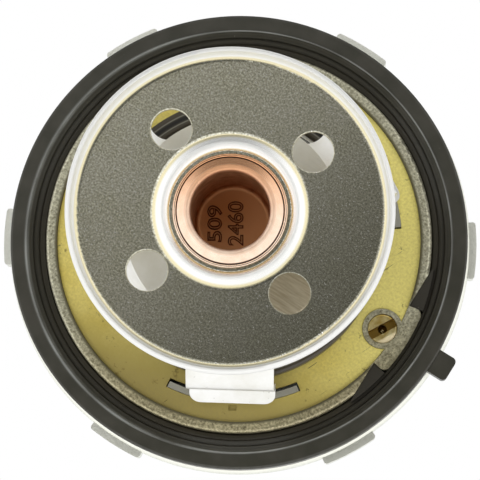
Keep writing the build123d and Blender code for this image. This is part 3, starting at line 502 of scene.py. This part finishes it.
def retaining_ring():
    """The ring staked on the capsule's end, with the rounded top that the punch leaves."""
    low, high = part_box("retaining_ring")
    outer = high.x
    inner = (SEAM_AT + RING_GAP) * MM
    across = (outer - inner) / 2
    middle = (outer + inner) / 2
    shoulder = high.z - across * RING_CROWN
    outline = [(inner, shoulder), (inner, low.z), (outer, low.z), (outer, shoulder)]
    for i in range(1, RING_STEPS):
        turn = math.pi * i / RING_STEPS
        outline.append((middle + across * math.cos(turn), shoulder + across * RING_CROWN * math.sin(turn)))
    shape = bmesh.new()
    corners = [shape.verts.new((x, 0, z)) for x, z in outline]
    sides = [shape.edges.new((corners[i - 1], corners[i])) for i in range(len(corners))]
    turned = {"axis": (0, 0, 1), "angle": 2 * math.pi, "steps": RING_SEGMENTS, "use_merge": True}
    bmesh.ops.spin(shape, geom=corners + sides, **turned)
    mesh = merged_mesh(shape, "staked_ring", RING_MERGE)
    mesh.shade_smooth()
    piece = new_piece("staked_ring", mesh, copper)
    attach(piece, "valve")
    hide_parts("retaining_ring")


retaining_ring()

# ---------------------------------------------------------- stamped digits
STROKE = 0.07  # half the width of a stroke, in millimetres
DIGITS_MERGE = 1e-5  # of the font's own units


def stamped_row(text, across, size, length, material):
    """Digits stamped in outline on the floor of the capsule's hollow, in a row that runs up the view.

    The row lies so far across to the view's right, and has a height and a length, in millimetres.
    """
    font = bpy.data.curves.new("row", "FONT")
    font.body = text
    font.fill_mode = "NONE"
    font.bevel_depth = STROKE / size
    font.bevel_resolution = 1
    font.resolution_u = 4
    carrier = bpy.data.objects.new("row", font)
    bpy.context.scene.collection.objects.link(carrier)
    drawn = bpy.data.meshes.new_from_object(carrier.evaluated_get(bpy.context.evaluated_depsgraph_get()))
    shape = bmesh.new()
    shape.from_mesh(drawn)
    mesh = merged_mesh(shape, "stamped_digits", DIGITS_MERGE)
    bpy.data.objects.remove(carrier)
    bpy.data.meshes.remove(drawn)
    xs = [vertex.co.x for vertex in mesh.vertices]
    ys = [vertex.co.y for vertex in mesh.vertices]
    middle = Vector(((min(xs) + max(xs)) / 2, (min(ys) + max(ys)) / 2, 0))
    stretch = (length / (max(xs) - min(xs)), size / (max(ys) - min(ys)), size)
    stretched = Matrix.Diagonal((*(factor * MM for factor in stretch), 1))
    turned = Matrix.Rotation(VIEW_TURN + math.pi / 2, 4, "Z")
    on_floor = Matrix.Translation(VIEW_RIGHT * across * MM + Vector((0, 0, HOLLOW_FLOOR * MM)))
    mesh.transform(on_floor @ turned @ stretched @ Matrix.Translation(-middle))
    piece = new_piece("stamped_digits", mesh, material)
    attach(piece, "valve")


strokes = stroke_shade_copper()
stamped_row("509", across=-2.7, size=2.15, length=5.3, material=strokes)
stamped_row("2460", across=0.25, size=2.3, length=6.4, material=strokes)

# ------------------------------------------------------------------- floor
FLOOR_REACH = 2.0  # metres, each way
FLOOR_GAP = 0.05  # under the neck, in millimetres


def floor():
    """A plain white floor that the neck stands on. The camera, gloss and glass see it as pure white."""
    shape = bmesh.new()
    bmesh.ops.create_grid(shape, x_segments=1, y_segments=1, size=FLOOR_REACH)
    mesh = bpy.data.meshes.new("floor")
    shape.to_mesh(mesh)
    shape.free()
    mesh.transform(Matrix.Translation((0, 0, cad_box[0][2] - FLOOR_GAP * MM)))
    material, tree, _ = new_material("white_paper_floor")
    paper = add(tree, "ShaderNodeBsdfPrincipled", {"Base Color": "efefef", "Roughness": 0.9})
    white = add(tree, "ShaderNodeEmission", {"Color": "ffffff", "Strength": 1.0})
    path = add(tree, "ShaderNodeLightPath")
    seen = path.outputs["Is Camera Ray"]
    for ray in ("Is Transmission Ray", "Is Glossy Ray"):
        seen = add(tree, "ShaderNodeMath", {0: seen, 1: path.outputs[ray]}, operation="MAXIMUM")
    mixed = add(tree, "ShaderNodeMixShader", {0: seen, 1: paper, 2: white})
    add(tree, "ShaderNodeOutputMaterial", {"Surface": mixed})
    new_piece("floor", mesh, material)


# ------------------------------------------------------------------ lights
# The studio is a tent of white cloth, with a dark round opening in its top, which leans in the view by so
# much up and right, and a darker wall low on the far side. Angles are in degrees.
TENT = 1.2
OPENING = 0.03
OPENING_TINT = "c9c5a8"
OPENING_INNER = 10.0
OPENING_OUTER = 32.0
OPENING_UP = -4.0
OPENING_RIGHT = 5.0
FAR_WALL = 0.22
FAR_WALL_DIP = 38.7  # its axis, below the level
FAR_WALL_REACH = 82.0
FAR_WALL_EDGE = 7.0


def studio():
    """The light tent as the world, and plain white behind everything the camera sees directly."""
    world = bpy.data.worlds.new("light_tent")
    bpy.context.scene.world = world
    world.use_nodes = True
    tree = world.node_tree
    tree.nodes.clear()
    outward = add(tree, "ShaderNodeTexCoord").outputs["Generated"]
    lean = VIEW_UP * math.tan(math.radians(OPENING_UP)) + VIEW_RIGHT * math.tan(math.radians(OPENING_RIGHT))
    axis = (lean + Vector((0, 0, 1))).normalized()
    outer, inner = (math.cos(math.radians(angle)) for angle in (OPENING_OUTER, OPENING_INNER))
    opening = toward(tree, outward, axis, outer, inner)
    dip = math.radians(FAR_WALL_DIP)
    wall_axis = VIEW_UP * math.cos(dip) - Vector((0, 0, math.sin(dip)))
    limits = (math.cos(math.radians(angle)) for angle in (FAR_WALL_REACH, FAR_WALL_REACH - FAR_WALL_EDGE))
    cloth = toward(tree, outward, wall_axis, *limits, TENT, FAR_WALL)
    level = add(tree, "ShaderNodeMix", {0: opening, 2: cloth, 3: OPENING}, data_type="FLOAT")
    tint = layered(tree, "ffffff", (opening, OPENING_TINT))
    light = add(tree, "ShaderNodeBackground", {"Color": tint, "Strength": level})
    white = add(tree, "ShaderNodeBackground", {"Color": "ffffff", "Strength": 1.0})
    seen = add(tree, "ShaderNodeLightPath").outputs["Is Camera Ray"]
    mixed = add(tree, "ShaderNodeMixShader", {0: seen, 1: light, 2: white})
    add(tree, "ShaderNodeOutputWorld", {"Surface": mixed})


# ------------------------------------------------------------------ camera
CAMERA_AT = Vector((41.49, -37.60, 396.06)) * MM
LOOKS_AT = (VIEW_RIGHT * 0.235 - VIEW_UP * 0.031) * MM
SENSOR = 36.0
LENS = 202.1


def camera():
    """The camera, 400 mm away and nearly over the bypass disc."""
    forward = (LOOKS_AT - CAMERA_AT).normalized()
    right = forward.cross(VIEW_UP).normalized()
    up = right.cross(forward)
    data = bpy.data.cameras.new("camera")
    data.sensor_fit = "HORIZONTAL"
    data.sensor_width = SENSOR
    data.lens = LENS
    data.clip_start = 0.01
    data.clip_end = 20.0
    made = bpy.data.objects.new("camera", data)
    bpy.context.scene.collection.objects.link(made)
    made.matrix_world = Matrix.Translation(CAMERA_AT) @ Matrix((right, up, -forward)).transposed().to_4x4()
    bpy.context.scene.camera = made


floor()
studio()
camera()
bpy.context.scene.view_settings.view_transform = "Standard"
